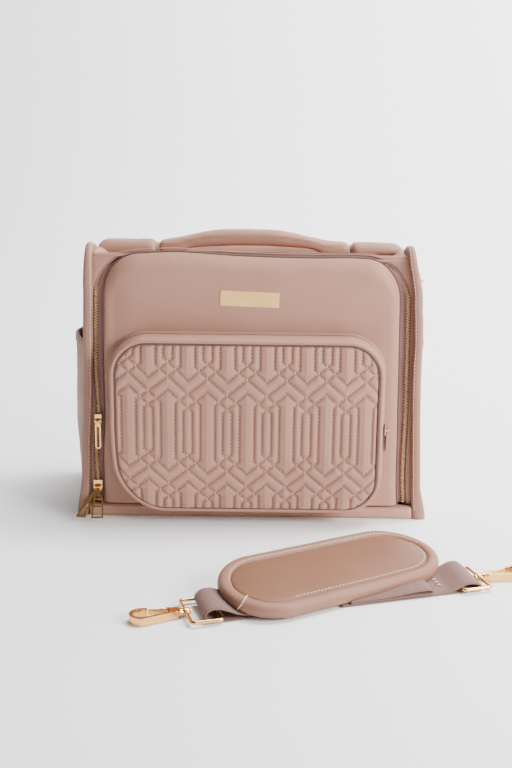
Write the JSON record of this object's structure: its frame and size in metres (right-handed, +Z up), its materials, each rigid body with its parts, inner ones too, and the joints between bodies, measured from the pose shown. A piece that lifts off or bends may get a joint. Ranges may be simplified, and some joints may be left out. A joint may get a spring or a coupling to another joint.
{
  "type": "diaper bag",
  "caption": "Structured faux leather diaper bag with a fold-down zipped front, quilted front pocket, padded top handle and clip-on padded shoulder strap.",
  "frame": {"origin": "middle of the base, on the floor", "axes": "+X to the bag's right as seen from the front, +Y to the back, +Z up"},
  "size_m": [0.4394, 0.4115, 0.29],
  "materials": {
    "shell_leather": "soft satin faux leather with a fine grain",
    "trim_leather": "soft satin faux leather, rolled edges",
    "tan_leather": "smooth semi-gloss faux leather",
    "zip_tape": "woven polyester tape",
    "lining_fabric": "plain woven lining",
    "board": "stiff board",
    "webbing": "ribbed woven webbing",
    "gold_metal": "polished pale gold plating",
    "tonal_metal": "painted to match the leather"
  },
  "bodies": {
    "bag_body": {"back_panel": "shell_leather", "base_panel": "trim_leather", "base_board": "board", "bottom_trim": "trim_leather", "front_frame": "shell_leather", "top_panel": "shell_leather", "side_panel_left": "shell_leather", "side_panel_right": "shell_leather", "side_binding_left": "trim_leather", "side_binding_right": "trim_leather", "frame_zip_tape": "zip_tape", "frame_zip_teeth": "gold_metal", "lining": "lining_fabric", "inner_pocket": "lining_fabric", "side_pocket_left": "shell_leather", "side_pocket_right": "shell_leather", "trolley_sleeve": "shell_leather", "ring_tab_left": "trim_leather", "ring_tab_right": "trim_leather", "handle_pad_left": "shell_leather", "handle_pad_right": "shell_leather"},
    "front_flap": {"front_panel": "shell_leather", "flap_gusset": "shell_leather", "flap_piping": "trim_leather", "flap_lining": "lining_fabric", "flap_zip_tape": "zip_tape", "flap_zip_teeth": "gold_metal", "name_plate": "gold_metal", "pocket_rear_gusset": "shell_leather", "pocket_zip_teeth": "tonal_metal"},
    "pocket_flap": {"pocket_panel": "shell_leather", "pocket_piping": "trim_leather", "pocket_gusset": "shell_leather"},
    "upper_slider": {"zip_slider_upper": "gold_metal"},
    "upper_pull": {"zip_pull_upper": "gold_metal"},
    "lower_slider": {"zip_slider_lower": "gold_metal"},
    "lower_pull": {"zip_pull_lower": "gold_metal"},
    "lower_tag": {"zip_tag_lower": "gold_metal"},
    "side_slider": {"pocket_slider": "tonal_metal"},
    "side_pull": {"pocket_pull": "tonal_metal"},
    "left_d_ring": {"d_ring_left": "gold_metal"},
    "right_d_ring": {"d_ring_right": "gold_metal"},
    "handle": {"handle_grip": "shell_leather"},
    "shoulder_strap": {"shoulder_pad": "shell_leather", "pad_top": "tan_leather", "pad_border": "trim_leather", "strap_webbing": "webbing", "strap_adjuster": "gold_metal"},
    "left_loop": {"loop_ring_left": "gold_metal"},
    "right_loop": {"loop_ring_right": "gold_metal"},
    "left_hook": {"snap_hook_left": "gold_metal"},
    "right_hook": {"snap_hook_right": "gold_metal"},
    "left_gate": {"hook_gate_left": "gold_metal"},
    "right_gate": {"hook_gate_right": "gold_metal"}
  },
  "joints": [
    {"name": "flap_fold", "type": "hinge", "parent": "bag_body", "child": "front_flap", "pos_m": [0, -0.077, 0.015], "axis": [1, 0, 0], "range_deg": [0, 30]},
    {"name": "pocket_fold", "type": "hinge", "parent": "front_flap", "child": "pocket_flap", "pos_m": [0, -0.0806, 0.016], "axis": [1, 0, 0], "range_deg": [0, 18]},
    {"name": "upper_slide", "type": "slide", "parent": "front_flap", "child": "upper_slider", "axis": [0.0225, 0, 0.9997], "range_m": [-0.03, 0.11]},
    {"name": "upper_pull_swing", "type": "hinge", "parent": "upper_slider", "child": "upper_pull", "pos_m": [-0.15625, -0.071, 0.1], "axis": [-1, 0, 0], "range_deg": [0, 150]},
    {"name": "lower_slide", "type": "slide", "parent": "front_flap", "child": "lower_slider", "axis": [0.0225, 0, 0.9997], "range_m": [0, 0.02]},
    {"name": "lower_pull_swing", "type": "hinge", "parent": "lower_slider", "child": "lower_pull", "pos_m": [-0.15782, -0.071, 0.03], "axis": [-1, 0, 0], "range_deg": [0, 95]},
    {"name": "lower_tag_swing", "type": "hinge", "parent": "lower_slider", "child": "lower_tag", "pos_m": [-0.15782, -0.071, 0.03], "axis": [-1, 0, 0], "range_deg": [0, 95]},
    {"name": "side_slide", "type": "slide", "parent": "front_flap", "child": "side_slider", "axis": [0, 0, 1], "range_m": [-0.035, 0.035]},
    {"name": "side_pull_swing", "type": "hinge", "parent": "side_slider", "child": "side_pull", "pos_m": [0.1368, -0.0804, 0.097], "axis": [0, -1, 0], "range_deg": [0, 120]},
    {"name": "left_ring_swing", "type": "hinge", "parent": "bag_body", "child": "left_d_ring", "pos_m": [-0.16669, 0, 0.243], "axis": [0, 1, 0], "range_deg": [-8, 110]},
    {"name": "right_ring_swing", "type": "hinge", "parent": "bag_body", "child": "right_d_ring", "pos_m": [0.16669, 0, 0.243], "axis": [0, -1, 0], "range_deg": [-58, 60]},
    {"name": "handle_rock", "type": "hinge", "parent": "bag_body", "child": "handle", "pos_m": [0, 0, 0.275], "axis": [1, 0, 0], "range_deg": [-13, 13]},
    {"name": "strap_lift", "type": "slide", "parent": "bag_body", "child": "shoulder_strap", "axis": [0, 0, 1], "range_m": [0, 0.3]},
    {"name": "left_loop_fold", "type": "hinge", "parent": "shoulder_strap", "child": "left_loop", "pos_m": [-0.02664, -0.3014, 0.0043], "axis": [-0.2924, 0.9563, 0], "range_deg": [0, 85]},
    {"name": "right_loop_fold", "type": "hinge", "parent": "shoulder_strap", "child": "right_loop", "pos_m": [0.18014, -0.2386, 0.0043], "axis": [0.2924, -0.9563, 0], "range_deg": [0, 85]},
    {"name": "left_hook_turn", "type": "hinge", "parent": "left_loop", "child": "left_hook", "pos_m": [-0.0515, -0.309, 0.0043], "axis": [-0.9563, -0.2924, 0], "continuous": true},
    {"name": "right_hook_turn", "type": "hinge", "parent": "right_loop", "child": "right_hook", "pos_m": [0.205, -0.231, 0.0043], "axis": [0.9563, 0.2924, 0], "continuous": true},
    {"name": "left_gate_swing", "type": "hinge", "parent": "left_hook", "child": "left_gate", "pos_m": [-0.06589, -0.30909, 0.0043], "axis": [0, 0, 1], "range_deg": [0, 25], "stiffness_Nm_per_rad": 0.005, "springref_deg": -17.19},
    {"name": "right_gate_swing", "type": "hinge", "parent": "right_hook", "child": "right_gate", "pos_m": [0.21698, -0.22303, 0.0043], "axis": [0, 0, -1], "range_deg": [0, 25], "stiffness_Nm_per_rad": 0.005, "springref_deg": -17.19}
  ]
}
